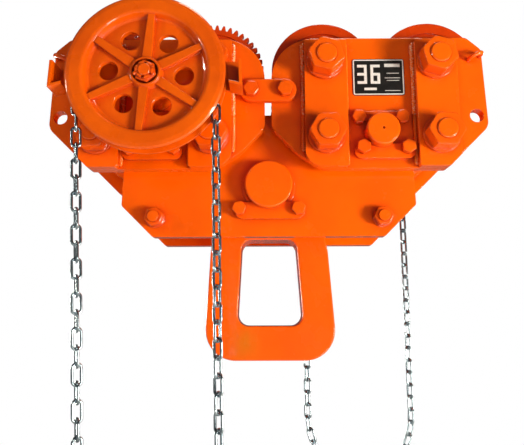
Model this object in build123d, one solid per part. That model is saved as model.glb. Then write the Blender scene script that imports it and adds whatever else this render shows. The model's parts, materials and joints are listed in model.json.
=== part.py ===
from build123d import *
import math
import os

# Geared beam trolley: two four-wheel bogies on one beam flange, joined by a
# load frame that hangs from a cross pin in each bogie and carries a lug.
# Millimetres. X runs along the beam, Y across it, +Z up. The origin is the
# middle of the trolley at the height of the beam surface the wheels run on.
# The front of the trolley is at -Y. The left bogie is the right bogie turned
# half a turn about Z, so the left one has its geared side at the front.

# ---------------------------------------------------------------- dimensions
# bogie
BOGIE_X = 197.0            # load pin, from the middle of the trolley
AXLE_DX = 97.0             # wheel axles, each side of the load pin
TREAD_R = 62.5             # running radius of the track wheels
AXLE_Z = TREAD_R
PLATE_T = 20.0             # side plates
PLATE_IN = 94.5            # inner face of a side plate, from the middle plane
PLATE_OUT = PLATE_IN + PLATE_T
PLATE_TOP = 115.0
PLATE_BOTTOM = -127.0
STIFF_T = 18.0             # stiffener bars on the outer faces
STIFF_OUT = PLATE_OUT + STIFF_T
STIFF_INNER = (64.0, 138.5)
STIFF_OUTER = (260.0, 333.0)
STIFF_TOP = 105.0
# track wheels
FLANGE_R = 93.0
FLANGE_IN, FLANGE_OUT = 78.0, 91.0
WHEEL_IN, WHEEL_OUT = 47.0, 92.5
BEARING_R, BEARING_BORE_R, BEARING_W = 40.0, 20.0, 18.0
# gear teeth
MODULE = 4.0
GEAR_Z, PINION_Z = 45, 11
PRESSURE = math.radians(20.0)
SHIFT = 0.4
BACKLASH = 0.36
# axles, tie bolts, nuts
AXLE_BOLT_R = 17.5
AXLE_END = 170.0
TIE_DX = (96.5, 101.5)
TIE_Z = -72.0
TIE_R = 17.5
NUT_AF, NUT_H = 55.0, 28.5
WASHER_R, WASHER_T = 33.0, 6.0
TIE_TUBE_R = 25.0
# load pin
LOAD_PIN_R = 28.5
LOAD_PIN_Z = -63.5
LOAD_PIN_END = 145.0
KEEPER_T = 8.0
UP_KEEPER_T = 3.5
# outer holes
END_HOLE_R = 12.25
END_HOLE_X, END_HOLE_Z = 368.5, -32.0
# link straps between the bogies
STRAP_X, STRAP_Z = 30.0, 13.0
STRAP_HALF, STRAP_T = 20.0, 12.0
STRAP_BOLT_R = 8.0
OPEN_PIVOT_GAP = 1.0
# load frame and lug
LOAD_IN, LOAD_OUT = 56.0, 76.0
LOAD_TOP, LOAD_BOTTOM = -16.0, -241.0
LUG_PIN_R = 42.0
LUG_PIN_Z = -150.5
LUG_PIN_END = 104.0
LUG_T = 62.0
LUG_BOTTOM = -460.0
LUG_BUSH_R = 48.0
FRAME_TIE_X, FRAME_TIE_Z = 203.0, -206.5
# hand wheel and its shaft
SHAFT_Z = AXLE_Z - math.sqrt(((GEAR_Z + PINION_Z) * MODULE / 2) ** 2 - AXLE_DX ** 2)
HAND_FRONT, HAND_BACK = 226.0, 190.0
HAND_R = 129.0
CHAIN_Y = 208.0
CHAIN_PITCH_R = 112.0
SHAFT_R = 15.0
HOUSING_R = 28.0
# hand chain
WIRE = 4.6
LINK_PITCH = 26.2
LINK_INNER_L = 26.9
LINK_W = 18.0
RUN = 0.06                 # radial running clearance


# ------------------------------------------------------------------- helpers
def cyl_y(r, y0, y1, x=0.0, z=0.0):
    """Cylinder along Y between y0 and y1."""
    lo, hi = min(y0, y1), max(y0, y1)
    return Pos(x, (lo + hi) / 2, z) * Rot(90, 0, 0) * Cylinder(r, hi - lo)


def tube_y(ro, ri, y0, y1, x=0.0, z=0.0):
    return cyl_y(ro, y0, y1, x, z) - cyl_y(ri, y0 - 1 if y0 < y1 else y0 + 1,
                                           y1 + 1 if y0 < y1 else y1 - 1, x, z)


def box(x0, x1, y0, y1, z0, z1):
    return Pos((x0 + x1) / 2, (y0 + y1) / 2, (z0 + z1) / 2) * Box(abs(x1 - x0), abs(y1 - y0), abs(z1 - z0))


def xz_face(pts):
    """Face in the XZ plane from (x, z) points, ready to be extruded along Y."""
    return make_face(Polyline(*[(x, 0, z) for x, z in pts], close=True))


def slab(face, y0, y1):
    """Extrude a face lying in Y=0 so that it fills y0..y1."""
    lo, hi = min(y0, y1), max(y0, y1)
    return Pos(0, lo, 0) * extrude(face, amount=hi - lo, dir=(0, 1, 0))


def rounded(pts):
    """Face from (x, z, radius) corners, each rounded with its own radius."""
    edges, n = [], len(pts)
    starts, ends, mids = [], [], []
    for i in range(n):
        (px, pz, _), (cx, cz, r), (nx, nz, _) = pts[i - 1], pts[i], pts[(i + 1) % n]
        a = Vector(px - cx, 0, pz - cz)
        b = Vector(nx - cx, 0, nz - cz)
        a, b = a / a.length, b / b.length
        if r <= 0:
            p = Vector(cx, 0, cz)
            starts.append(p), ends.append(p), mids.append(None)
            continue
        ang = math.acos(max(-1, min(1, a.dot(b))))
        t = r / math.tan(ang / 2)
        c = Vector(cx, 0, cz)
        bis = a + b
        bis = bis / bis.length
        centre = c + bis * (r / math.sin(ang / 2))
        starts.append(c + a * t)
        ends.append(c + b * t)
        mids.append(centre - bis * r)
    for i in range(n):
        if mids[i] is not None:
            edges.append(ThreePointArc(starts[i], mids[i], ends[i]))
        p, q = ends[i], starts[(i + 1) % n]
        if (q - p).length > 1e-6:
            edges.append(Line(p, q))
    return make_face(Wire(edges))


def hexagon(af, y0, y1, x, z, turn=0.0, chamfer_at=None):
    """Hexagonal prism along Y with a slightly chamfered outer end."""
    e = af / math.sqrt(3)
    pts = [(x + e * math.cos(math.radians(turn + 60 * i)), z + e * math.sin(math.radians(turn + 60 * i))) for i in range(6)]
    body = slab(xz_face(pts), y0, y1)
    lo, hi = min(y0, y1), max(y0, y1)
    out_hi = abs(hi) > abs(lo)
    c = 0.12 * af
    # a cone that trims the six corners on the outer face
    h = hi - lo
    if out_hi:
        cone = Pos(x, hi - c / 2 * 1.0, z) * Rot(-90, 0, 0) * Cone(e + c * 0.9, e * 0.93, c)
        rest = cyl_y(e + 2, lo, hi - c, x, z)
    else:
        cone = Pos(x, lo + c / 2 * 1.0, z) * Rot(90, 0, 0) * Cone(e + c * 0.9, e * 0.93, c)
        rest = cyl_y(e + 2, lo + c, hi, x, z)
    return body & (cone + rest)


def solids_of(*shapes):
    out = []
    for s in shapes:
        if isinstance(s, (list, tuple)):
            out += solids_of(*s)
        else:
            out += list(s.solids())
    return out


def polar(r, a):
    return r * math.cos(a), r * math.sin(a)


def gear_face(z, shift, tip_r, root_r, phase, cx, cz):
    """Involute gear outline in the XZ plane; phase is the angle of a tooth's middle."""
    r = MODULE * z / 2
    rb = r * math.cos(PRESSURE)
    inv0 = math.tan(PRESSURE) - PRESSURE
    s = math.pi * MODULE / 2 + 2 * shift * MODULE * math.tan(PRESSURE) - BACKLASH / 2
    pts = []
    for k in range(z):
        mid = phase + 2 * math.pi * k / z

        def half(rad):
            a = math.acos(min(1.0, rb / rad))
            return s / (2 * r) + inv0 - (math.tan(a) - a)
        radii = [max(rb, root_r)] + [max(rb, root_r) + (tip_r - max(rb, root_r)) * f for f in (0.3, 0.65, 1.0)]
        side = [(rad, half(rad)) for rad in radii]
        if root_r < rb:
            side = [(root_r, half(rb) + 0.004)] + side
        left = [(rad, mid - h) for rad, h in side]
        right = [(rad, mid + h) for rad, h in reversed(side)]
        pts += [polar(rad, a) for rad, a in left + right]
    return xz_face([(cx + x, cz + y) for x, y in pts])


# ---------------------------------------------- right bogie, built where it is
AX_IN, AX_OUT = BOGIE_X - AXLE_DX, BOGIE_X + AXLE_DX
TIE_IN, TIE_OUT = BOGIE_X - TIE_DX[0], BOGIE_X + TIE_DX[1]

# the inner top corner is round, inside the wheel flange's circle
PLATE_OUTLINE = [
    (6.0, PLATE_TOP, 78), (6.0, -52.0, 20), (50.0, -99.0, 70), (97.0, PLATE_BOTTOM, 34), (312.0, PLATE_BOTTOM, 8),
    (388.0, -52.0, 24), (383.0, 92.0, 12), (357.0, PLATE_TOP, 14),
]
KEEPER_BOLTS_UP = [(159.0, -36.5), (235.0, -36.5)]
KEEPER_BOLTS_LOW = [(165.0, -91.5), (242.5, -92.0)]
EYELET = (369.5, 75.5, 9.5)         # middle x, z and half width of the rod loop
EYELET_R, EYELET_REACH = 4.0, 19.0


def side_plate(sign, geared):
    y0, y1 = sign * PLATE_IN, sign * PLATE_OUT
    p = slab(rounded(PLATE_OUTLINE), y0, y1)
    cut = lambda r, x, z: cyl_y(r, sign * (PLATE_IN - 1), sign * (PLATE_OUT + 1), x, z)
    for x in (AX_IN, AX_OUT):
        p -= cut(18.0, x, AXLE_Z)
    for x in (TIE_IN, TIE_OUT):
        p -= cut(TIE_R, x, TIE_Z)
    p -= cut(LOAD_PIN_R, BOGIE_X, LOAD_PIN_Z)
    p -= cut(END_HOLE_R, END_HOLE_X, END_HOLE_Z)
    for x, z in KEEPER_BOLTS_UP + KEEPER_BOLTS_LOW:
        p -= cut(6.0, x, z)
    p -= cut(STRAP_BOLT_R, STRAP_X, STRAP_Z)
    ex, ez, eh = EYELET
    p -= cut(EYELET_R, ex - eh, ez - 3.5)
    p -= cut(EYELET_R, ex + eh, ez + 3.5)
    if geared:
        p -= cut(HOUSING_R, BOGIE_X, SHAFT_Z)
        for x in GUIDE_BOLT_X:
            p -= cut(5.0, x, GUIDE_BOLT_Z)
    return p


GUIDE_BOLT_X = (BOGIE_X - 45.0, BOGIE_X + 45.0)
GUIDE_BOLT_Z = 60.0


def stiffener(sign, span, outer):
    x0, x1 = span
    if outer:
        out = [(x0, STIFF_TOP, 4), (x0, PLATE_BOTTOM, 5), (312.0, PLATE_BOTTOM, 5), (x1, -106.0, 4), (x1, STIFF_TOP, 4)]
        ax, tx = AX_OUT, TIE_OUT
    else:
        out = [(x0, STIFF_TOP, 4), (x0, PLATE_BOTTOM, 28), (x1, PLATE_BOTTOM, 5), (x1, STIFF_TOP, 4)]
        ax, tx = AX_IN, TIE_IN
    b = slab(rounded(out), sign * PLATE_OUT, sign * STIFF_OUT)
    b -= cyl_y(18.0, sign * (PLATE_OUT - 1), sign * (STIFF_OUT + 1), ax, AXLE_Z)
    b -= cyl_y(TIE_R, sign * (PLATE_OUT - 1), sign * (STIFF_OUT + 1), tx, TIE_Z)
    return b


def wheel(sign, x, geared, phase=0.0):
    body = cyl_y(TREAD_R, sign * WHEEL_IN, sign * WHEEL_OUT, x, AXLE_Z)
    if geared:
        tip = MODULE * GEAR_Z / 2 + MODULE * (1 - SHIFT)
        root = MODULE * GEAR_Z / 2 - MODULE * (1.25 + SHIFT)
        body += slab(gear_face(GEAR_Z, -SHIFT, tip, root, phase, x, AXLE_Z), sign * FLANGE_IN, sign * FLANGE_OUT)
    else:
        body += cyl_y(FLANGE_R, sign * FLANGE_IN, sign * FLANGE_OUT, x, AXLE_Z)
        # bevel on the inner edge of the flange, where it guides on the beam
        body -= tube_y(FLANGE_R + 5, FLANGE_R - 0.01, sign * (FLANGE_IN - 1), sign * (FLANGE_IN + 3), x, AXLE_Z)
    # shallow dish in the outer face of the flange
    body -= tube_y(74.0, 52.0, sign * (FLANGE_OUT - 3), sign * (WHEEL_OUT + 1), x, AXLE_Z)
    body -= tube_y(FLANGE_R + 5, 74.0, sign * FLANGE_OUT, sign * (WHEEL_OUT + 1), x, AXLE_Z)
    body -= cyl_y(BEARING_R + RUN, sign * (WHEEL_IN - 1), sign * (WHEEL_OUT + 1), x, AXLE_Z)
    return body


BEAR_A = (71.5, 89.5)
BEAR_B = (50.0, 68.0)


def axle(sign, x):
    a = cyl_y(20.0, sign * 45.0, sign * 91.0, x, AXLE_Z)
    a += cyl_y(25.0, sign * 89.5, sign * PLATE_IN, x, AXLE_Z)
    a += cyl_y(18.0, sign * PLATE_IN, sign * STIFF_OUT, x, AXLE_Z)
    a += cyl_y(AXLE_BOLT_R, sign * STIFF_OUT, sign * AXLE_END, x, AXLE_Z)
    a -= tube_y(21.0, 18.6, sign * 47.8, sign * 49.8, x, AXLE_Z)
    return chamfer(a.edges().filter_by(GeomType.CIRCLE).filter_by(lambda e: abs(abs(e.center().Y) - AXLE_END) < 0.01), 1.6)


def bearing_pair(sign, x):
    out = []
    for a, b in (BEAR_A, BEAR_B):
        ring = tube_y(BEARING_R, BEARING_BORE_R, sign * a, sign * b, x, AXLE_Z)
        for face in (a, b):
            lo, hi = (face - 1, face + 0.8) if face == a else (face - 0.8, face + 1)
            ring -= tube_y(34.0, 26.0, sign * lo, sign * hi, x, AXLE_Z)
        out.append(ring)
    # distance ring between the inner races
    out.append(tube_y(25.0, BEARING_BORE_R, sign * 68.0, sign * 71.5, x, AXLE_Z))
    return out


def circlip(sign, x):
    ring = tube_y(23.5, 18.6, sign * 47.9, sign * 49.7, x, AXLE_Z)
    return ring - box(x - 3, x + 3, sign * 47, sign * 51, AXLE_Z - 30, AXLE_Z - 10)


def nut_and_washer(sign, x, z, bolt_r, af, h, wr, wt, base, turn):
    return [tube_y(wr, bolt_r, sign * base, sign * (base + wt), x, z),
            hexagon(af, sign * (base + wt), sign * (base + wt + h), x, z, turn) - cyl_y(bolt_r, sign * base, sign * (base + wt + h + 1), x, z)]


def bar_xz(p, q, half, y0, y1):
    """Bar with round ends from p to q, half wide each side."""
    (x0, z0), (x1, z1) = p, q
    d = Vector(x1 - x0, 0, z1 - z0)
    d = d / d.length
    n = Vector(-d.Z, 0, d.X) * half
    a, b = Vector(x0, 0, z0), Vector(x1, 0, z1)
    w = Wire([Line(a + n, b + n), ThreePointArc(b + n, b + d * half, b - n), Line(b - n, a - n), ThreePointArc(a - n, a - d * half, a + n)])
    return slab(make_face(w), y0, y1)


def hand_wheel():
    """Hand chain wheel on the rear of the right bogie, front face towards +Y."""
    B = HAND_FRONT
    f = lambda d: B - d              # depth from the outer face to a Y value
    prof = [
        (101.5, 1.0), (104.5, 0.0), (120.0, 0.0), (126.0, 1.2), (129.0, 3.2), (129.0, 5.2),
        (109.2, 8.2), (109.2, 14.6), (102.4, 14.6), (102.4, 21.4), (109.2, 21.4), (109.2, 27.8),
        (129.0, 30.8), (129.0, 34.0), (126.5, 36.0), (99.0, 36.0), (92.0, 23.0),
        (33.0, 23.0), (31.0, 36.0), (14.0, 36.0), (14.0, 16.0), (21.0, 16.0), (21.0, 4.0), (24.0, 4.0), (28.5, 13.5), (92.5, 13.5), (96.0, 11.5), (99.8, 2.2),
    ]
    pts = [(BOGIE_X + r, f(d), SHAFT_Z) for r, d in prof]
    face = make_face(Polyline(*pts, close=True))
    axis = Axis((BOGIE_X, 0, SHAFT_Z), (0, 1, 0))
    w = revolve(face, axis, 360)
    for i in range(6):
        a = math.radians(60 * i + HAND_TURN)
        x, z = BOGIE_X + 61.5 * math.cos(a), SHAFT_Z + 61.5 * math.sin(a)
        w -= cyl_y(16.0, B - 40, B + 1, x, z)
    for i in range(6):
        # tapered in width and in height towards the rim
        plan = make_face(Polyline((23, 0, 8.0), (98.5, 0, 5.6), (98.5, 0, -5.6), (23, 0, -8.0), close=True))
        rib = slab(plan, B - 14.0, B - 4.5)
        taper = Pos(97.5, B - 4.5, 0) * Rot(0, 0, 2.0) * box(-90, 8, 0, 12, -12, 12)
        rib = Pos(BOGIE_X, 0, SHAFT_Z) * Rot(0, -(60 * i + 30 + HAND_TURN), 0) * (rib - taper)
        w += rib
    w = w - cyl_y(21.0, B - 16.0, B + 1, BOGIE_X, SHAFT_Z) - cyl_y(14.0, B - 40, B + 1, BOGIE_X, SHAFT_Z)
    return w


HAND_TURN = 4.5


def drive_shaft(phase):
    tip = MODULE * PINION_Z / 2 + MODULE * (1 + SHIFT) - 0.4
    root = MODULE * PINION_Z / 2 - MODULE * (1.25 - SHIFT)
    s = slab(gear_face(PINION_Z, SHIFT, tip, root, phase, BOGIE_X, SHAFT_Z), 77.5, 92.0)
    s += cyl_y(18.0, 92.0, 95.5, BOGIE_X, SHAFT_Z)
    s += cyl_y(SHAFT_R, 95.5, 189.7, BOGIE_X, SHAFT_Z)
    s += cyl_y(14.0, 189.7, 209.5, BOGIE_X, SHAFT_Z)
    s += cyl_y(10.0, 209.5, 229.0, BOGIE_X, SHAFT_Z)
    # cross hole for the split pin
    s -= Pos(BOGIE_X, 225.4, SHAFT_Z) * Rot(0, 20, 0) * Rot(0, 90, 0) * Cylinder(2.1, 40.0)
    return s


def hub_nut():
    """Castellated nut, washer and split pin in the hub's recess."""
    washer = tube_y(19.0, 10.0, 210.0, 213.0, BOGIE_X, SHAFT_Z)
    n = hexagon(33.0, 213.0, 222.5, BOGIE_X, SHAFT_Z, 20)
    n += cyl_y(14.5, 222.0, 228.0, BOGIE_X, SHAFT_Z)
    for i in range(3):
        n -= Pos(BOGIE_X, 226.0, SHAFT_Z) * Rot(0, 20 + 60 * i, 0) * Box(40, 6.0, 4.4)
    n -= cyl_y(10.0, 212.0, 232.0, BOGIE_X, SHAFT_Z)
    return [washer, n]


def split_pin():
    p = Pos(BOGIE_X, 225.4, SHAFT_Z) * Rot(0, 20, 0) * Rot(0, 90, 0) * Cylinder(1.9, 31.0)
    p += Pos(BOGIE_X, 225.4, SHAFT_Z) * Rot(0, 20, 0) * (Pos(16.5, 0, 0) * Sphere(3.2))
    return p


def link(length, width, wire):
    """One chain link: a ring of round wire, long axis along local X, flat in XZ."""
    half = (length - (width - 2 * wire)) / 2      # straight half length
    r = (width - wire) / 2
    w = Wire([Line((-half, 0, r), (half, 0, r)), ThreePointArc((half, 0, r), (half + r, 0, 0), (half, 0, -r)),
              Line((half, 0, -r), (-half, 0, -r)), ThreePointArc((-half, 0, -r), (-half - r, 0, 0), (-half, 0, r))])
    prof = Plane(origin=(-half, 0, r), z_dir=(1, 0, 0)) * Circle(wire / 2)
    return sweep(prof, path=w)


def chain_loop(bottom_z, lean_left, lean_right):
    """Closed loop of separate links over the hand wheel of the right bogie."""
    R = CHAIN_PITCH_R
    cx, cz = BOGIE_X, SHAFT_Z
    xl, xr = cx - R, cx + R
    bl, br = xl + lean_left, xr + lean_right
    rb = (br - bl) / 2
    mid = (br + bl) / 2
    # a fall leaves the wheel straight down, then runs at a small even slant
    lean = lambda t: (math.sqrt(t * t + 0.02) - math.sqrt(0.02)) / (math.sqrt(1.02) - math.sqrt(0.02))

    def build(zb):
        # points along the loop: right side of the wheel, over the top, down the left, round the bottom, up the right
        pts = []
        n = 240
        for i in range(n + 1):
            a = math.pi * i / n
            pts.append((cx + R * math.cos(a), cz + R * math.sin(a)))
        m = 200
        for i in range(1, m + 1):
            t = i / m
            pts.append((xl + (bl - xl) * lean(t), cz + (zb + rb * 1.25 - cz) * t))
        for i in range(1, n + 1):
            a = math.pi + math.pi * i / n
            pts.append((mid + rb * math.cos(a), zb + rb * 1.25 + rb * 1.25 * math.sin(a)))
        for i in range(1, m + 1):
            t = i / m
            pts.append((xr + (br - xr) * lean(1 - t), zb + rb * 1.25 + (cz - zb - rb * 1.25) * t))
        return pts

    def total(pts):
        return sum(math.dist(pts[i], pts[i + 1]) for i in range(len(pts) - 1))
    count = round(total(build(bottom_z)) / LINK_PITCH / 2) * 2
    lo, hi = bottom_z - 80, bottom_z + 80
    for _ in range(40):
        m_ = (lo + hi) / 2
        if total(build(m_)) > count * LINK_PITCH:
            lo = m_
        else:
            hi = m_
    pts = build((lo + hi) / 2)
    # places and directions at equal steps of length
    out, acc, k, want = [], 0.0, 0, 0.0
    length = total(pts)
    base = link(LINK_INNER_L, LINK_W, WIRE)
    for i in range(len(pts) - 1):
        seg = math.dist(pts[i], pts[i + 1])
        while k < count and want <= acc + seg + 1e-9:
            t = (want - acc) / seg
            x = pts[i][0] + (pts[i + 1][0] - pts[i][0]) * t
            z = pts[i][1] + (pts[i + 1][1] - pts[i][1]) * t
            ang = math.degrees(math.atan2(pts[i + 1][1] - pts[i][1], pts[i + 1][0] - pts[i][0]))
            # the falls hang turned about their own line, a little more with each link below the wheel
            twist = (0 if k % 2 == 0 else 90) + 33.0 * max(0.0, min(1.0, (want - math.pi * R) / 160.0, (length - want) / 160.0))
            out.append(Pos(x, CHAIN_Y, z) * Rot(0, -ang, 0) * Rot(twist, 0, 0) * base)
            k += 1
            want += LINK_PITCH
        acc += seg
    return out, count, (lo + hi) / 2


def chain_guide():
    """Strip bracket behind the hand wheel with a guide for the chain at each end."""
    y0, y1 = 179.5, 185.5
    g = box(BOGIE_X - 151.0, BOGIE_X + 151.0, y0, y1, -13.0, 38.0)
    g -= cyl_y(HOUSING_R + 1.0, y0 - 1, y1 + 1, BOGIE_X, SHAFT_Z)
    for side in (-1, 1):
        # upright outer wall beside the rim, and the shelf under it that slopes outwards
        pts = [(134.0, -9.0), (134.0, -13.5), (155.5, -19.0), (153.5, 26.0), (148.5, 26.0), (150.2, -13.2)]
        g += slab(xz_face([(BOGIE_X + side * x, z) for x, z in pts]), y0, 222.0)
    return g


def guide_posts():
    """Two bent feet that carry the guide strip from the side plate."""
    out = []
    for x in GUIDE_BOLT_X:
        p = box(x - 12, x + 12, PLATE_OUT, PLATE_OUT + 6, 14, 76)
        p += box(x - 12, x + 12, PLATE_OUT, 179.5, 14, 20)
        p += box(x - 12, x + 12, 173.5, 179.5, 14, 33)
        p -= cyl_y(5.0, PLATE_OUT - 1, PLATE_OUT + 8, x, GUIDE_BOLT_Z)
        out.append(p)
    return out


def bolt(sign, x, z, r, af, head, base, length, turn):
    """Hexagon screw with its head resting at |y| = base and its shank inwards."""
    return hexagon(af, sign * base, sign * (base + head), x, z, turn) + cyl_y(r, sign * (base - length), sign * (base + 0.1), x, z)


def eyelet(sign):
    ex, ez, eh = EYELET
    a = Vector(ex - eh, 0, ez - 3.5)
    b = Vector(ex + eh, 0, ez + 3.5)
    reach = PLATE_OUT + EYELET_REACH
    path = FilletPolyline((a.X, sign * PLATE_IN, a.Z), (a.X, sign * reach, a.Z), (b.X, sign * reach, b.Z), (b.X, sign * PLATE_IN, b.Z), radius=9.0)
    prof = Plane(origin=(a.X, sign * PLATE_IN, a.Z), z_dir=(0, sign, 0)) * Circle(EYELET_R)
    return sweep(prof, path=path)


def load_pin():
    p = cyl_y(LOAD_PIN_R, -LOAD_PIN_END, LOAD_PIN_END, BOGIE_X, LOAD_PIN_Z)
    for s in (-1, 1):
        # flats that the keeper bars sit in
        for up in (-1, 1):
            zc = LOAD_PIN_Z + up * (21.5 + 10)
            t = KEEPER_T if up < 0 else UP_KEEPER_T
            p -= box(BOGIE_X - 40, BOGIE_X + 40, s * PLATE_OUT, s * (PLATE_OUT + t), zc - 10, zc + 10)
        p -= cyl_y(2.2, s * (LOAD_PIN_END - 3), s * (LOAD_PIN_END + 1), BOGIE_X, LOAD_PIN_Z)
    return chamfer(p.edges().filter_by(GeomType.CIRCLE).filter_by(lambda e: abs(abs(e.center().Y) - LOAD_PIN_END) < 0.01 and e.radius > 20), 2.0)


def keepers():
    out = []
    for s in (-1, 1):
        up = bar_xz((KEEPER_BOLTS_UP[0][0], -33.0), (KEEPER_BOLTS_UP[1][0], -33.0), 9.0, s * PLATE_OUT, s * (PLATE_OUT + UP_KEEPER_T))
        lo = bar_xz((KEEPER_BOLTS_LOW[0][0] - 2, -98.0), (KEEPER_BOLTS_LOW[1][0] + 1, -98.0), 13.0, s * PLATE_OUT, s * (PLATE_OUT + KEEPER_T))
        for bar, bolts in ((up, KEEPER_BOLTS_UP), (lo, KEEPER_BOLTS_LOW)):
            for x, z in bolts:
                bar -= cyl_y(6.0, s * (PLATE_OUT - 1), s * (PLATE_OUT + KEEPER_T + 1), x, z)
            out.append(bar)
    return out


# gear phases: at the pinion a tooth points at the inner wheel's tooth space
ang_in = math.atan2(AXLE_Z - SHAFT_Z, AX_IN - BOGIE_X)      # from the pinion to the inner wheel
ang_out = math.atan2(AXLE_Z - SHAFT_Z, AX_OUT - BOGIE_X)
pinion_phase = ang_in
wheel_in_phase = ang_in + math.pi + math.pi / GEAR_Z
# where the pinion's teeth stand on the line to the outer wheel
step = 2 * math.pi / PINION_Z
off = ((pinion_phase - ang_out) / step) % 1.0                # fraction of a pitch past the line
wheel_out_phase = ang_out + math.pi + math.pi / GEAR_Z - off * 2 * math.pi / GEAR_Z

parts = {}


def bogie(front_bottom_z, lean_a, lean_b):
    b = {}
    b["plain_side_plate"] = [side_plate(-1, False)]
    b["geared_side_plate"] = [side_plate(1, True)]
    b["stiffeners"] = [stiffener(s, sp, o) for s in (-1, 1) for sp, o in ((STIFF_INNER, False), (STIFF_OUTER, True))]
    b["wheel_axles"] = [axle(s, x) for s in (-1, 1) for x in (AX_IN, AX_OUT)]
    b["wheel_bearings"] = [bearing_pair(s, x) for s in (-1, 1) for x in (AX_IN, AX_OUT)]
    b["tie_bolts"] = [chamfer(c.edges().filter_by(GeomType.CIRCLE), 1.6) for c in (cyl_y(TIE_R, -AXLE_END, AXLE_END, x, TIE_Z) for x in (TIE_IN, TIE_OUT))]
    nuts = []
    for s in (-1, 1):
        for i, (x, z, r) in enumerate(((AX_IN, AXLE_Z, AXLE_BOLT_R), (AX_OUT, AXLE_Z, AXLE_BOLT_R), (TIE_IN, TIE_Z, TIE_R), (TIE_OUT, TIE_Z, TIE_R))):
            nuts += nut_and_washer(s, x, z, r, NUT_AF, NUT_H, WASHER_R, WASHER_T, STIFF_OUT, (-14, -16, 0, -3)[i])
    b["axle_and_tie_fasteners"] = nuts + [circlip(s, x) for s in (-1, 1) for x in (AX_IN, AX_OUT)]
    b["spacers"] = [tube_y(TIE_TUBE_R, TIE_R, -PLATE_IN, PLATE_IN, x, TIE_Z) for x in (TIE_IN, TIE_OUT)] + \
                   [tube_y(38.0, LOAD_PIN_R, s * (LOAD_OUT + 0.5), s * PLATE_IN, BOGIE_X, LOAD_PIN_Z) for s in (-1, 1)]
    b["load_pin"] = [load_pin()]
    b["load_pin_keepers"] = keepers()
    screws = []
    for s in (-1, 1):
        for i, (x, z) in enumerate(KEEPER_BOLTS_UP + KEEPER_BOLTS_LOW):
            t = UP_KEEPER_T if i < 2 else KEEPER_T
            screws.append(bolt(s, x, z, 6.0, 22.0, 11.0, PLATE_OUT + t, t + PLATE_T, 12 * i))
        strap_head = PLATE_OUT + STRAP_T + 0.6
        screws.append(bolt(s, STRAP_X, STRAP_Z, STRAP_BOLT_R, 24.0, 11.0, strap_head, STRAP_T + 0.6 + PLATE_T, 8))
    screws += [bolt(1, x, GUIDE_BOLT_Z, 5.0, 17.0, 7.0, PLATE_OUT + 6, 6 + PLATE_T, 5) for x in GUIDE_BOLT_X]
    b["plate_screws"] = screws
    b["eyelets"] = [eyelet(s) for s in (-1, 1)]
    b["shaft_housing"] = [tube_y(HOUSING_R, 20.0, 96.0, 187.0, BOGIE_X, SHAFT_Z)]
    b["shaft_bushes"] = [tube_y(20.0, SHAFT_R + RUN, y0, y1, BOGIE_X, SHAFT_Z) for y0, y1 in ((96.0, 126.0), (157.0, 187.0))]
    b["chain_guide"] = [chain_guide()] + guide_posts()
    b["plain_wheel_inner"] = [wheel(-1, AX_IN, False)]
    b["plain_wheel_outer"] = [wheel(-1, AX_OUT, False)]
    b["geared_wheel_inner"] = [wheel(1, AX_IN, True, wheel_in_phase)]
    b["geared_wheel_outer"] = [wheel(1, AX_OUT, True, wheel_out_phase)]
    b["pinion_shaft"] = [drive_shaft(pinion_phase)]
    b["hand_wheel"] = [hand_wheel()]
    b["hub_nut"] = hub_nut() + [split_pin()]
    links, n, zb = chain_loop(front_bottom_z, lean_a, lean_b)
    b["hand_chain"] = links
    print("hand chain: %d links, bottom at z %.1f, length %.0f mm" % (n, zb, n * LINK_PITCH))
    return b


right = bogie(-735.0, 0.0, 0.0)
left = bogie(-735.0, -11.0, -30.0)
turn = Rot(0, 0, 180)
for name, shapes in right.items():
    parts["right_" + name] = solids_of(shapes)
for name, shapes in left.items():
    parts["left_" + name] = [turn * s for s in solids_of(shapes)]

# rating plate on the right bogie's plain side, riveted between the stiffeners
plate = slab(rounded([(151.0, 74.0, 4), (151.0, 6.0, 4), (243.0, 6.0, 4), (243.0, 74.0, 4)]), -(PLATE_OUT + 1.5), -PLATE_OUT)
parts["rating_plate"] = [plate]

# ------------------------------------------------------------- link straps
for nm, s in (("link_strap_front", -1), ("link_strap_rear", 1)):
    y0, y1 = s * (PLATE_OUT + 0.3), s * (PLATE_OUT + 0.3 + STRAP_T)
    strap = bar_xz((-STRAP_X, STRAP_Z), (STRAP_X, STRAP_Z), STRAP_HALF, y0, y1)
    strap -= cyl_y(STRAP_BOLT_R + RUN, s * PLATE_OUT, s * (PLATE_OUT + 20), -STRAP_X, STRAP_Z)
    strap -= cyl_y(STRAP_BOLT_R + OPEN_PIVOT_GAP, s * PLATE_OUT, s * (PLATE_OUT + 20), STRAP_X, STRAP_Z)
    parts[nm] = solids_of(strap)

# ------------------------------------------------------- load frame and lug
LUG_KEEPER_BOLTS = (-52.0, 53.0)
LUG_KEEPER_TOP = -180.0
LOAD_OUTLINE = [(-259.0, LOAD_TOP, 26), (-264.5, -184.0, 8), (-207.0, LOAD_BOTTOM, 6), (207.0, LOAD_BOTTOM, 6), (264.5, -184.0, 8), (259.0, LOAD_TOP, 26)]


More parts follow.
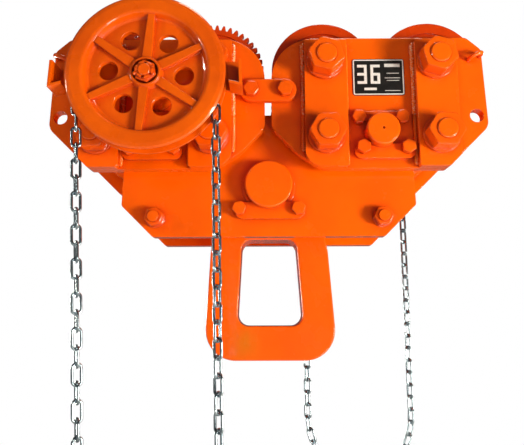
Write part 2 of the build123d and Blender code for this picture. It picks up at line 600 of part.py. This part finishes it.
def load_plate(s):
    p = slab(rounded(LOAD_OUTLINE), s * LOAD_IN, s * LOAD_OUT)
    cut = lambda r, x, z: cyl_y(r, s * (LOAD_IN - 1), s * (LOAD_OUT + 1), x, z)
    for x in (-BOGIE_X, BOGIE_X):
        p -= cut(LOAD_PIN_R + RUN, x, LOAD_PIN_Z)
    for x in (-TIE_IN, TIE_IN):
        p -= cut(TIE_TUBE_R + 8.0, x, TIE_Z)
    p -= cut(LUG_PIN_R, 0, LUG_PIN_Z)
    for x in (-FRAME_TIE_X, FRAME_TIE_X):
        p -= cut(10.0, x, FRAME_TIE_Z)
    for x in LUG_KEEPER_BOLTS:
        p -= cut(6.0, x, -192.0)
    # low collar round the lug pin, open where the keeper crosses it
    collar = tube_y(47.5, LUG_PIN_R, s * (LOAD_OUT - 0.5), s * (LOAD_OUT + 5), 0, LUG_PIN_Z)
    p += collar - box(-80, 80, s * (LOAD_OUT - 1), s * (LOAD_OUT + 11), -260.0, LUG_KEEPER_TOP)
    return p


parts["load_plate_front"] = solids_of(load_plate(-1))
parts["load_plate_rear"] = solids_of(load_plate(1))
parts["load_frame_spacers"] = solids_of([tube_y(17.0, 10.0, -LOAD_IN, LOAD_IN, x, FRAME_TIE_Z) for x in (-FRAME_TIE_X, FRAME_TIE_X)])
parts["load_frame_tie_bolts"] = solids_of([cyl_y(10.0, -99.0, 99.0, x, FRAME_TIE_Z) for x in (-FRAME_TIE_X, FRAME_TIE_X)])
fn = []
for x in (-FRAME_TIE_X, FRAME_TIE_X):
    for s in (-1, 1):
        fn += nut_and_washer(s, x, FRAME_TIE_Z, 10.0, 30.0, 16.0, 18.0, 3.0, LOAD_OUT, 14 if x < 0 else 3)

lug_pin = cyl_y(LUG_PIN_R, -LUG_PIN_END, LUG_PIN_END, 0, LUG_PIN_Z)
for s in (-1, 1):
    lug_pin -= box(-60, 60, s * LOAD_OUT, s * (LOAD_OUT + 10), LUG_PIN_Z - 60, LUG_KEEPER_TOP)
lug_pin = chamfer(lug_pin.edges().filter_by(GeomType.CIRCLE).filter_by(lambda e: abs(abs(e.center().Y) - LUG_PIN_END) < 0.01), 2.0)
parts["lug_pin"] = solids_of(lug_pin)
kp, ks, col = [], [], []
for s in (-1, 1):
    k = bar_xz((-46.0, -195.0), (50.0, -195.0), 15.0, s * LOAD_OUT, s * (LOAD_OUT + 10))
    for x in LUG_KEEPER_BOLTS:
        k -= cyl_y(6.0, s * (LOAD_OUT - 1), s * (LOAD_OUT + 11), x, -192.0)
        ks.append(bolt(s, x, -192.0, 6.0, 22.0, 10.0, LOAD_OUT + 10, 10 + 20, 10))
    kp.append(k)
parts["lug_pin_keepers"] = solids_of(kp)
parts["load_frame_fasteners"] = solids_of(fn + ks)
# spacer rings that centre the lug between the load plates
parts["lug_spacers"] = solids_of([tube_y(60.0, LUG_PIN_R, s * (LUG_T / 2 + 0.5), s * LOAD_IN, 0, LUG_PIN_Z) for s in (-1, 1)])

# the lug hangs a trace to one side, as the middle line of its outline shows
hang = lambda pts: [(x + 0.009 * (LUG_PIN_Z - z), z, r) for x, z, r in pts]
LUG_OUTLINE = [(-84.0, LUG_PIN_Z + 20, 30), (-108.5, -262.0, 60), (-117.5, -400.0, 40), (-117.5, LUG_BOTTOM, 55),
               (117.5, LUG_BOTTOM, 55), (117.5, -400.0, 40), (108.5, -262.0, 60), (84.0, LUG_PIN_Z + 20, 30),
               (62.0, LUG_PIN_Z + 86, 48), (-62.0, LUG_PIN_Z + 86, 48)]
lug = slab(rounded(hang(LUG_OUTLINE)), -LUG_T / 2, LUG_T / 2)
lug -= slab(rounded(hang([(-50.5, -240.5, 20), (-60.5, -398.5, 20), (60.5, -398.5, 20), (50.5, -240.5, 20)])), -LUG_T, LUG_T)
lug -= cyl_y(LUG_BUSH_R, -LUG_T, LUG_T, 0, LUG_PIN_Z)
lug = fillet(lug.edges().filter_by(lambda e: abs(abs(e.center().Y) - LUG_T / 2) < 0.01).filter_by(lambda e: e.center().Z < -200), 2.5)
parts["lug"] = solids_of(lug)
parts["lug_bush"] = solids_of(tube_y(LUG_BUSH_R, LUG_PIN_R + RUN, -LUG_T / 2, LUG_T / 2, 0, LUG_PIN_Z))

# ------------------------------------------------------------------- export
os.makedirs("parts", exist_ok=True)
for name, sol in parts.items():
    shape = sol[0] if len(sol) == 1 else Compound(children=list(sol))
    shape.label = name
    export_step(shape, "parts/%s.step" % name)
print(len(parts), "nodes,", sum(len(s) for s in parts.values()), "solids")
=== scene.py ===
import json
import math
import random

import bmesh
import bpy
from mathutils import Matrix, Vector

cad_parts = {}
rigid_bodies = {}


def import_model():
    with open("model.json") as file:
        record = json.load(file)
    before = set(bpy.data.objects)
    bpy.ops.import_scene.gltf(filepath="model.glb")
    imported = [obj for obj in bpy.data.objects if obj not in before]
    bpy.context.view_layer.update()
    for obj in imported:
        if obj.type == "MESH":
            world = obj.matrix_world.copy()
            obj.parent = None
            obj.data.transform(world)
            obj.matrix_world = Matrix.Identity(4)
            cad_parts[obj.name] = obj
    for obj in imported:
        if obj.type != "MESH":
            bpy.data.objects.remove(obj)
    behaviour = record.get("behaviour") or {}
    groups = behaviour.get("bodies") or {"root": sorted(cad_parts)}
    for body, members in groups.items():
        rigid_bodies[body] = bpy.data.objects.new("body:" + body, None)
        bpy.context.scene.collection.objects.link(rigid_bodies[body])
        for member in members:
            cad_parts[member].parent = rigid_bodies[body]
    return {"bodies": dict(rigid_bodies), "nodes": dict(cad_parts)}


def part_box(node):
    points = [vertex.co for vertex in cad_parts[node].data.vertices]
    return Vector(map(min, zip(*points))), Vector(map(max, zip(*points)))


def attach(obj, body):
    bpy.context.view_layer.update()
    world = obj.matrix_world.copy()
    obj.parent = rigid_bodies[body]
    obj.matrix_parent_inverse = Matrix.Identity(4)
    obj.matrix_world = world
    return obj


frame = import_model()
NODES, BODIES = frame["nodes"], frame["bodies"]
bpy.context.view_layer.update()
random.seed(7)

MM = 0.001
BOGIE_X, PLATE_OUT, STIFF_OUT = 197.0, 114.5, 132.5


# ------------------------------------------------------------------ camera
# Stands in front of the trolley and well below it, looking up about nine degrees.
def add_camera():
    pos = Vector((-5.8, -1062.6, -375.6)) * MM
    pitch, yaw, roll = 0.1608, -0.0062, -0.0033
    fwd0 = Vector((math.sin(yaw), math.cos(yaw), 0))
    right0 = Vector((math.cos(yaw), -math.sin(yaw), 0))
    up0 = Vector((0, 0, 1))
    fwd = math.cos(pitch) * fwd0 + math.sin(pitch) * up0
    up = -math.sin(pitch) * fwd0 + math.cos(pitch) * up0
    r2 = math.cos(roll) * right0 + math.sin(roll) * up
    u2 = -math.sin(roll) * right0 + math.cos(roll) * up
    cam = bpy.data.cameras.new("camera")
    cam.sensor_fit = "HORIZONTAL"
    cam.sensor_width = 36.0
    cam.lens = 560.0 / 524.0 * 36.0
    cam.clip_end = 100.0
    ob = bpy.data.objects.new("camera", cam)
    bpy.context.scene.collection.objects.link(ob)
    m = Matrix((
        (r2.x, u2.x, -fwd.x, pos.x),
        (r2.y, u2.y, -fwd.y, pos.y),
        (r2.z, u2.z, -fwd.z, pos.z),
        (0, 0, 0, 1)))
    ob.matrix_world = m
    bpy.context.scene.camera = ob
    return ob


camera = add_camera()


# --------------------------------------------------------------- materials
class Mat:
    """Small helper around a node material with one Principled shader."""

    def __init__(self, name):
        self.m = bpy.data.materials.new(name)
        self.m.use_nodes = True
        self.t = self.m.node_tree
        self.p = self.t.nodes["Principled BSDF"]
        self.co = self.t.nodes.new("ShaderNodeTexCoord").outputs["Object"]

    def new(self, kind, **props):
        n = self.t.nodes.new(kind)
        for k, v in props.items():
            setattr(n, k, v)
        return n

    def link(self, a, b):
        self.t.links.new(a, b)

    def noise(self, scale, detail=3.0, rough=0.55, dim=(1, 1, 1)):
        mp = self.new("ShaderNodeMapping")
        mp.inputs["Scale"].default_value = dim
        self.link(self.co, mp.inputs["Vector"])
        n = self.new("ShaderNodeTexNoise")
        n.inputs["Scale"].default_value = scale
        n.inputs["Detail"].default_value = detail
        n.inputs["Roughness"].default_value = rough
        self.link(mp.outputs["Vector"], n.inputs["Vector"])
        return n.outputs["Fac"]

    def ramp(self, fac, stops):
        r = self.new("ShaderNodeValToRGB")
        el = r.color_ramp.elements
        while len(el) < len(stops):
            el.new(0.5)
        for e, (pos, col) in zip(el, stops):
            e.position = pos
            e.color = (*col, 1.0) if len(col) == 3 else col
        self.link(fac, r.inputs["Fac"])
        return r.outputs["Color"]

    def math(self, op, a, b=None):
        n = self.new("ShaderNodeMath", operation=op)
        for i, v in enumerate((a, b)):
            if v is None:
                continue
            if isinstance(v, (int, float)):
                n.inputs[i].default_value = v
            else:
                self.link(v, n.inputs[i])
        return n.outputs["Value"]

    def mix(self, fac, a, b):
        n = self.new("ShaderNodeMix", data_type="RGBA")
        for key, v in (("Factor", fac), ("A", a), ("B", b)):
            idx = {"Factor": 0, "A": 6, "B": 7}[key]
            if isinstance(v, tuple):
                n.inputs[idx].default_value = (*v, 1.0)
            elif isinstance(v, (int, float)):
                n.inputs[idx].default_value = v
            else:
                self.link(v, n.inputs[idx])
        return n.outputs[2]

    def bump(self, height, strength, distance, normal=None):
        b = self.new("ShaderNodeBump")
        b.inputs["Strength"].default_value = strength
        b.inputs["Distance"].default_value = distance
        self.link(height, b.inputs["Height"])
        if normal is not None:
            self.link(normal, b.inputs["Normal"])
        return b.outputs["Normal"]

    def edges(self, radius):
        b = self.new("ShaderNodeBevel")
        b.samples = 4
        b.inputs["Radius"].default_value = radius
        return b.outputs["Normal"]


def enamel(name, base=(0.96, 0.128, 0.0003), deep=(0.88, 0.100, 0.0002), rough=0.25, coat=0.9, coat_rough=0.04,
           peel=0.12, wave=0.30, radius=0.0020, corner_shade=0.85):
    """Thick glossy orange enamel over steel: colour drift, painted shade in the corners, orange peel, softened edges.
    """
    m = Mat(name)
    drift = m.noise(9.0, 4.0, 0.6)
    col = m.ramp(drift, [(0.30, deep), (0.62, base)])
    fine = m.noise(70.0, 3.0, 0.6)
    tint = m.ramp(fine, [(0.25, tuple(c * 0.9 for c in base)), (0.75, base)])
    col = m.mix(0.35, col, tint)
    # painted shade: ambient occlusion darkens the colour towards dark red in corners and crevices
    ao = m.new("ShaderNodeAmbientOcclusion")
    ao.samples = 4
    ao.inputs["Distance"].default_value = 0.018
    painted_corner_shade = m.ramp(ao.outputs["AO"], [(0.12, (0.30, 0.09, 0.02)), (0.50, (0.72, 0.42, 0.2)), (0.9, (1, 1, 1))])
    mul = m.new("ShaderNodeMix", data_type="RGBA", blend_type="MULTIPLY")
    mul.inputs[0].default_value = corner_shade
    m.link(col, mul.inputs[6])
    m.link(painted_corner_shade, mul.inputs[7])
    m.link(mul.outputs[2], m.p.inputs["Base Color"])
    r = m.ramp(m.noise(22.0, 3.0, 0.6), [(0.3, (rough * 0.8,) * 3), (0.8, (rough * 1.25,) * 3)])
    m.link(r, m.p.inputs["Roughness"])
    n = m.edges(radius)
    n = m.bump(m.noise(18.0, 2.0, 0.5), wave, 0.0012, n)
    n = m.bump(m.noise(260.0, 2.0, 0.5), peel, 0.0003, n)
    m.link(n, m.p.inputs["Normal"])
    m.link(n, m.p.inputs["Coat Normal"])
    m.p.inputs["Coat Weight"].default_value = coat
    m.p.inputs["Coat Roughness"].default_value = coat_rough
    m.p.inputs["Specular IOR Level"].default_value = 0.16
    return m.m


def metal(name, base, dark, rough, bump=0.2, scale=120.0, stretch=(1, 1, 1)):
    """Bare or plated steel with fine scratches and patchy tone."""
    m = Mat(name)
    col = m.ramp(m.noise(35.0, 4.0, 0.6), [(0.3, dark), (0.7, base)])
    m.link(col, m.p.inputs["Base Color"])
    m.p.inputs["Metallic"].default_value = 1.0
    r = m.ramp(m.noise(scale, 4.0, 0.65, stretch), [(0.3, (rough * 0.7,) * 3), (0.75, (rough * 1.4,) * 3)])
    m.link(r, m.p.inputs["Roughness"])
    n = m.edges(0.0006)
    n = m.bump(m.noise(scale * 2, 3.0, 0.6, stretch), bump, 0.0002, n)
    m.link(n, m.p.inputs["Normal"])
    return m.m


M_PLATE = enamel("orange_plate")
M_BAR = enamel("orange_bar", base=(0.98, 0.128, 0.0004), deep=(0.90, 0.100, 0.0003), wave=0.32)
M_CAST = enamel("orange_cast", base=(0.90, 0.122, 0.0005), deep=(0.64, 0.066, 0.0004), rough=0.30, wave=0.55, radius=0.0024)
M_LUG = enamel("orange_lug", base=(0.93, 0.116, 0.0008), deep=(0.82, 0.090, 0.0008), rough=0.28, wave=0.5, radius=0.003)
M_NUT = enamel("orange_nut", base=(0.96, 0.122, 0.0004), deep=(0.80, 0.076, 0.0003), rough=0.26, coat=1.0, wave=0.5, radius=0.0034)
# running wheels get a darker orange than the plates: painted shade for wheels lying in shadow behind the side plates
M_WHEEL_SHADED = enamel("orange_wheel", base=(0.70, 0.055, 0.0004), deep=(0.54, 0.032, 0.0003), rough=0.30)
M_CHAIN = metal("zinc_chain", (0.46, 0.55, 0.61), (0.17, 0.22, 0.26), 0.22, 0.25, 160.0)
M_STEEL = metal("machined_steel", (0.55, 0.56, 0.57), (0.40, 0.41, 0.42), 0.30, 0.2, 200.0, (1, 8, 1))
M_BEAR = metal("bearing_steel", (0.62, 0.63, 0.64), (0.5, 0.5, 0.51), 0.22, 0.1, 220.0)
M_BRONZE = metal("bearing_bronze", (0.62, 0.40, 0.18), (0.45, 0.27, 0.11), 0.32, 0.15, 150.0)


def black_plate():
    m = Mat("black_plate")
    col = m.ramp(m.noise(60.0, 4.0, 0.6), [(0.3, (0.006, 0.006, 0.006)), (0.75, (0.018, 0.017, 0.016))])
    m.link(col, m.p.inputs["Base Color"])
    r = m.ramp(m.noise(150.0, 3.0, 0.6), [(0.3, (0.28,) * 3), (0.8, (0.42,) * 3)])
    m.link(r, m.p.inputs["Roughness"])
    m.p.inputs["Coat Weight"].default_value = 0.3
    m.p.inputs["Coat Roughness"].default_value = 0.2
    return m.m


def white_print():
    m = Mat("white_print")
    col = m.ramp(m.noise(300.0, 3.0, 0.6), [(0.3, (0.70, 0.70, 0.68)), (0.7, (0.86, 0.86, 0.85))])
    m.link(col, m.p.inputs["Base Color"])
    m.p.inputs["Roughness"].default_value = 0.4
    return m.m


M_BLACK, M_WHITE = black_plate(), white_print()


def lug_patina(mat):
    """Yellowish rubbed patch low on the lug's left side, with faint streaks."""
    t = mat.node_tree
    p = t.nodes["Principled BSDF"]
    old = p.inputs["Base Color"].links[0].from_socket
    co = t.nodes.new("ShaderNodeTexCoord").outputs["Object"]
    sep = t.nodes.new("ShaderNodeSeparateXYZ")
    t.links.new(co, sep.inputs[0])

    def band(sock, mid, half):
        a = t.nodes.new("ShaderNodeMath")
        a.operation = "SUBTRACT"
        t.links.new(sock, a.inputs[0])
        a.inputs[1].default_value = mid
        b = t.nodes.new("ShaderNodeMath")
        b.operation = "ABSOLUTE"
        t.links.new(a.outputs[0], b.inputs[0])
        r = t.nodes.new("ShaderNodeMapRange")
        r.interpolation_type = "SMOOTHSTEP"
        r.inputs["From Min"].default_value = 0.0
        r.inputs["From Max"].default_value = half
        r.inputs["To Min"].default_value = 1.0
        r.inputs["To Max"].default_value = 0.0
        t.links.new(b.outputs[0], r.inputs["Value"])
        return r.outputs[0]

    m1 = t.nodes.new("ShaderNodeMath")
    m1.operation = "MULTIPLY"
    t.links.new(band(sep.outputs["X"], -0.045, 0.040), m1.inputs[0])
    t.links.new(band(sep.outputs["Z"], -0.430, 0.050), m1.inputs[1])
    mp = t.nodes.new("ShaderNodeMapping")
    mp.inputs["Scale"].default_value = (1.0, 1.0, 0.25)
    t.links.new(co, mp.inputs["Vector"])
    nz = t.nodes.new("ShaderNodeTexNoise")
    nz.inputs["Scale"].default_value = 60.0
    nz.inputs["Detail"].default_value = 4.0
    t.links.new(mp.outputs["Vector"], nz.inputs["Vector"])
    m2 = t.nodes.new("ShaderNodeMath")
    m2.operation = "MULTIPLY"
    t.links.new(m1.outputs[0], m2.inputs[0])
    t.links.new(nz.outputs["Fac"], m2.inputs[1])
    mx = t.nodes.new("ShaderNodeMix")
    mx.data_type = "RGBA"
    t.links.new(m2.outputs[0], mx.inputs[0])
    t.links.new(old, mx.inputs[6])
    mx.inputs[7].default_value = (0.62, 0.17, 0.004, 1.0)
    t.links.new(mx.outputs[2], p.inputs["Base Color"])


lug_patina(M_LUG)


def give(node, mat):
    ob = NODES[node]
    ob.data.materials.clear()
    ob.data.materials.append(mat)


for name in NODES:
    if "hand_chain" in name:
        mat = M_CHAIN
    elif "rating_plate" in name:
        mat = M_BLACK
    elif "bearings" in name:
        mat = M_BEAR
    elif "bush" in name:
        mat = M_BRONZE
    elif "pinion_shaft" in name or name == "lug_spacers":
        mat = M_STEEL
    elif "hand_wheel" in name:
        mat = M_CAST
    elif name == "lug":
        mat = M_LUG
    elif "fasteners" in name or "screws" in name or "hub_nut" in name:
        mat = M_NUT
    elif "_wheel_" in name and "bearing" not in name and "axle" not in name:
        mat = M_WHEEL_SHADED
    elif "stiffeners" in name or "pin" in name or "strap" in name or "keeper" in name:
        mat = M_BAR
    else:
        mat = M_PLATE
    give(name, mat)

# the shaft's end in the hand wheel's hub is painted over, the rest of the shaft is machined
for side in ("left", "right"):
    me = NODES[side + "_pinion_shaft"].data
    me.materials.append(M_NUT)
    for poly in me.polygons:
        if abs(poly.center.y) > 0.2095:
            poly.material_index = 1

# smooth the round faces, keep the corners
for name, ob in NODES.items():
    me = ob.data
    for poly in me.polygons:
        poly.use_smooth = True
    me.set_sharp_from_angle(angle=math.radians(28))


# ----------------------------------------------------------- rating plate
def mesh_object(name, verts, faces, mat, body):
    me = bpy.data.meshes.new(name)
    me.from_pydata([tuple(v) for v in verts], [], faces)
    me.update()
    ob = bpy.data.objects.new(name, me)
    bpy.context.scene.collection.objects.link(ob)
    me.materials.append(mat)
    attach(ob, body)
    return ob


def raised_bar(bm, x0, x1, z0, z1, y_back, y_front):
    vs = [bm.verts.new((x * MM, y * MM, z * MM)) for y in (y_back, y_front) for x, z in ((x0, z0), (x1, z0), (x1, z1), (x0, z1))]
    b, f = vs[:4], vs[4:]
    bm.faces.new(f)
    bm.faces.new(list(reversed(b)))
    for i in range(4):
        j = (i + 1) % 4
        bm.faces.new((b[i], b[j], f[j], f[i]))


def plate_print():
    """White border, rulings and a plain number on the black plate."""
    lo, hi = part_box("rating_plate")
    x0, x1, z0, z1 = lo.x / MM, hi.x / MM, lo.z / MM, hi.z / MM
    yb = lo.y / MM
    bm = bmesh.new()
    t, f = 2.0, yb - 0.25
    def outline(inset, r):
        pts = []
        for cx, cz, a0 in ((x1 - inset - r, z1 - inset - r, 0), (x0 + inset + r, z1 - inset - r, 90),
                           (x0 + inset + r, z0 + inset + r, 180), (x1 - inset - r, z0 + inset + r, 270)):
            for j in range(7):
                ang = math.radians(a0 + 15 * j)
                pts.append((cx + r * math.cos(ang), cz + r * math.sin(ang)))
        return pts
    rings = []
    for y in (yb, f):
        rings.append([[bm.verts.new((x * MM, y * MM, z * MM)) for x, z in outline(i, r)] for i, r in ((1.0, 3.2), (1.0 + t, 1.8))])
    n = len(rings[0][0])
    for j in range(n):
        k = (j + 1) % n
        bm.faces.new((rings[1][0][j], rings[1][0][k], rings[1][1][k], rings[1][1][j]))
        bm.faces.new((rings[0][0][k], rings[0][0][j], rings[0][1][j], rings[0][1][k]))
        bm.faces.new((rings[0][0][j], rings[0][0][k], rings[1][0][k], rings[1][0][j]))
        bm.faces.new((rings[0][1][k], rings[0][1][j], rings[1][1][j], rings[1][1][k]))
    for k, (a, b, z) in enumerate(((0.62, 0.92, 0.12), (0.22, 0.46, 0.14), (0.66, 0.90, 0.40), (0.62, 0.92, 0.47), (0.66, 0.90, 0.60), (0.62, 0.92, 0.78))):
        zz = z0 + (z1 - z0) * z
        raised_bar(bm, x0 + (x1 - x0) * a, x0 + (x1 - x0) * b, zz, zz + (0.9, 4.5, 0.8, 0.9, 0.8, 6.0)[k], yb, f)
    # plain digits of straight strokes
    def digit(cx, cz, w, h, t, strokes):
        segs = {"top": (cx - w / 2, cx + w / 2, cz + h / 2 - t, cz + h / 2), "mid": (cx - w / 2, cx + w / 2, cz - t / 2, cz + t / 2),
                "bot": (cx - w / 2, cx + w / 2, cz - h / 2, cz - h / 2 + t), "ul": (cx - w / 2, cx - w / 2 + t, cz, cz + h / 2),
                "ur": (cx + w / 2 - t, cx + w / 2, cz, cz + h / 2), "ll": (cx - w / 2, cx - w / 2 + t, cz - h / 2, cz),
                "lr": (cx + w / 2 - t, cx + w / 2, cz - h / 2, cz)}
        for i, s in enumerate(strokes):
            a, b, c, d = segs[s]
            raised_bar(bm, a, b, c, d, yb, f - 0.004 * i)
    cz = z0 + (z1 - z0) * 0.58
    digit(x0 + 17.0, cz, 17, 36, 5.0, ("top", "ur", "mid", "lr", "bot"))
    digit(x0 + 40.5, cz, 17, 36, 5.0, ("top", "ul", "mid", "ll", "lr", "bot"))
    bmesh.ops.recalc_face_normals(bm, faces=bm.faces)
    me = bpy.data.meshes.new("plate_print")
    bm.to_mesh(me)
    bm.free()
    ob = bpy.data.objects.new("plate_print", me)
    bpy.context.scene.collection.objects.link(ob)
    me.materials.append(M_WHITE)
    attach(ob, "right_bogie")


plate_print()


# ------------------------------------------------------------- weld beads
def weld(name, p0, p1, out_a, out_b, body, width=5.0, seed=1, pitch=3.4, mat=None):
    """Rippled fillet weld along p0-p1; out_a and out_b are the two surfaces' outward directions at the corner."""
    rnd = random.Random(seed)
    p0, p1 = Vector(p0), Vector(p1)
    a, b = Vector(out_a).normalized(), Vector(out_b).normalized()
    length = (p1 - p0).length
    d = (p1 - p0) / length
    n = max(6, int(length / 0.9))
    rows = []
    drift = 0.0
    ring = 9
    for i in range(n + 1):
        s = i * length / n
        drift += rnd.uniform(-0.12, 0.12)
        drift = max(-0.6, min(0.6, drift))
        ph = (s / pitch + 0.15 * rnd.random()) % 1.0
        swell = 1.0 + 0.13 * math.sin(2 * math.pi * ph) + rnd.uniform(-0.05, 0.05)
        w = (width + drift) * swell
        end = min(1.0, (s + 1.0) / 4.0, (length - s + 1.0) / 4.0)
        w *= 0.45 + 0.55 * end
        row = []
        for k in range(ring):
            t = k / (ring - 1)
            ang = t * math.pi / 2
            r = w * (0.80 + 0.16 * math.sin(2 * ang))
            row.append(p0 + d * s + a * (r * math.cos(ang)) + b * (r * math.sin(ang)))
        row.append(p0 + d * s - (a + b) * 0.2)
        rows.append(row)
    verts = [v * MM for row in rows for v in row]
    faces = []
    m = ring + 1
    for i in range(n):
        for k in range(m):
            k2 = (k + 1) % m
            faces.append((i * m + k, i * m + k2, (i + 1) * m + k2, (i + 1) * m + k))
    faces.append(tuple(reversed(range(m))))
    faces.append(tuple(n * m + k for k in range(m)))
    ob = mesh_object(name, verts, faces, mat or M_WELD, body)
    bm = bmesh.new()
    bm.from_mesh(ob.data)
    bmesh.ops.recalc_face_normals(bm, faces=bm.faces)
    bm.to_mesh(ob.data)
    bm.free()
    for poly in ob.data.polygons:
        poly.use_smooth = True
    return ob


# the bead base is a lighter orange than the plates: a painted highlight on the welds
M_WELD = enamel("orange_weld", base=(0.98, 0.17, 0.004), deep=(0.90, 0.11, 0.002), rough=0.20, coat=1.0, coat_rough=0.08, wave=0.7, peel=0.5, corner_shade=0.0)


def weld_painted_glints(mat):
    """Painted glints: small pale flecks mixed into the base colour stand in for highlights shining off the weld
    ripples.
    """
    t = mat.node_tree
    p = t.nodes["Principled BSDF"]
    old = p.inputs["Base Color"].links[0].from_socket
    co = t.nodes.new("ShaderNodeTexCoord").outputs["Object"]
    nz = t.nodes.new("ShaderNodeTexNoise")
    nz.inputs["Scale"].default_value = 420.0
    nz.inputs["Detail"].default_value = 2.0
    t.links.new(co, nz.inputs["Vector"])
    r = t.nodes.new("ShaderNodeValToRGB")
    r.color_ramp.elements[0].position = 0.50
    r.color_ramp.elements[0].color = (0, 0, 0, 1)
    r.color_ramp.elements[1].position = 0.60
    r.color_ramp.elements[1].color = (1, 1, 1, 1)
    t.links.new(nz.outputs["Fac"], r.inputs["Fac"])
    mx = t.nodes.new("ShaderNodeMix")
    mx.data_type = "RGBA"
    t.links.new(r.outputs["Color"], mx.inputs[0])
    t.links.new(old, mx.inputs[6])
    mx.inputs[7].default_value = (1.0, 0.50, 0.26, 1.0)
    t.links.new(mx.outputs[2], p.inputs["Base Color"])


# copy of the weld enamel with painted glints in its colour
M_WELD_GLINTS = enamel("orange_weld_painted_glints", base=(0.98, 0.17, 0.004), deep=(0.90, 0.11, 0.002), rough=0.20, coat=1.0, coat_rough=0.08, wave=0.7, peel=0.5, corner_shade=0.0)
weld_painted_glints(M_WELD_GLINTS)


def bogie_welds(side):
    """Beads along both long edges of every stiffener of a bogie."""
    s = 1 if side == "right" else -1
    body = side + "_bogie"
    k = 0
    for face in (-1, 1):
        for x0, x1, lo0, lo1 in ((64.0, 138.5, -97.0, -122.0), (260.0, 333.0, -122.0, -104.0)):
            for x, out, zl in ((x0, -1, lo0), (x1, 1, lo1)):
                k += 1
                for part, (a, b) in enumerate(((zl, -30.0), (-31.5, 40.0), (38.5, 104.0))):
                    k += 1
                    # left-hand beads above the lowest stretch get the copy with painted glints
                    weld("weld_%s_%02d" % (side, k), (s * x, face * PLATE_OUT, a), (s * x, face * PLATE_OUT, b), (s * out, 0, 0), (0, face, 0), body, mat=M_WELD_GLINTS if out < 0 and part else M_WELD, width=7.0 if out < 0 else 4.6, seed=k * 13 + (0 if s > 0 else 500))


bogie_welds("right")
bogie_welds("left")


# ------------------------------------------------------------ stage and light
def add_area(name, loc, target, size, power, size_y=None, color=(1, 1, 1)):
    li = bpy.data.lights.new(name, "AREA")
    li.energy = power
    li.color = color
    li.size = size
    if size_y:
        li.shape = "RECTANGLE"
        li.size_y = size_y
    ob = bpy.data.objects.new(name, li)
    bpy.context.scene.collection.objects.link(ob)
    ob.location = loc
    d = Vector(target) - Vector(loc)
    ob.rotation_euler = d.to_track_quat("-Z", "Y").to_euler()
    return ob


WARM = (1.0, 0.93, 0.80)
add_area("key", (2.0, -1.5, -0.70), (0.0, 0, -0.05), 0.60, 80.0, color=WARM)
add_area("strip_left", (-2.3, -1.25, 0.45), (0, 0, -0.05), 0.10, 17.0, size_y=1.0, color=WARM)
add_area("fill_low", (0.7, -2.0, -1.1), (0, 0, -0.05), 0.4, 9.0, color=WARM)
add_area("top", (0.4, -0.2, 2.2), (0, 0, 0), 0.7, 12.0, color=WARM)
add_area("back_left", (-2.0, 1.7, -0.4), (0, 0, -0.05), 0.5, 48.0, color=WARM)
add_area("back_right", (2.1, 1.6, 0.5), (0, 0, -0.05), 0.4, 16.0, color=WARM)


def stage():
    m = bpy.data.materials.new("floor")
    m.use_nodes = True
    p = m.node_tree.nodes["Principled BSDF"]
    p.inputs["Base Color"].default_value = (0.72, 0.71, 0.69, 1)
    p.inputs["Roughness"].default_value = 0.8
    p.inputs["Emission Color"].default_value = (1, 1, 1, 1)
    p.inputs["Emission Strength"].default_value = 0.06
    # to the eye the floor is as white as the backdrop, so that no horizon shows
    lift = m.node_tree.nodes.new("ShaderNodeEmission")
    lift.inputs["Strength"].default_value = 1.0
    lpf = m.node_tree.nodes.new("ShaderNodeLightPath")
    mxf = m.node_tree.nodes.new("ShaderNodeMixShader")
    m.node_tree.links.new(lpf.outputs["Is Camera Ray"], mxf.inputs[0])
    m.node_tree.links.new(p.outputs[0], mxf.inputs[1])
    m.node_tree.links.new(lift.outputs[0], mxf.inputs[2])
    m.node_tree.links.new(mxf.outputs[0], m.node_tree.nodes["Material Output"].inputs["Surface"])
    me = bpy.data.meshes.new("floor")
    s, z = 30.0, -1.15
    me.from_pydata([(-s, -s, z), (s, -s, z), (s, s, z), (-s, s, z)], [], [(0, 1, 2, 3)])
    me.materials.append(m)
    ob = bpy.data.objects.new("floor", me)
    bpy.context.scene.collection.objects.link(ob)
    w = bpy.data.worlds.new("world")
    bpy.context.scene.world = w
    w.use_nodes = True
    nt = w.node_tree
    bg = nt.nodes["Background"]
    bg.inputs["Color"].default_value = (1, 1, 1, 1)
    bg.inputs["Strength"].default_value = 0.06
    bg2 = nt.nodes.new("ShaderNodeBackground")
    bg2.inputs["Color"].default_value = (1, 1, 1, 1)
    bg2.inputs["Strength"].default_value = 1.0
    lp = nt.nodes.new("ShaderNodeLightPath")
    mx = nt.nodes.new("ShaderNodeMixShader")
    nt.links.new(lp.outputs["Is Camera Ray"], mx.inputs[0])
    nt.links.new(bg.outputs[0], mx.inputs[1])
    nt.links.new(bg2.outputs[0], mx.inputs[2])
    nt.links.new(mx.outputs[0], nt.nodes["World Output"].inputs["Surface"])


stage()
bpy.context.scene.view_settings.view_transform = "Standard"
bpy.context.scene.view_settings.look = "None"
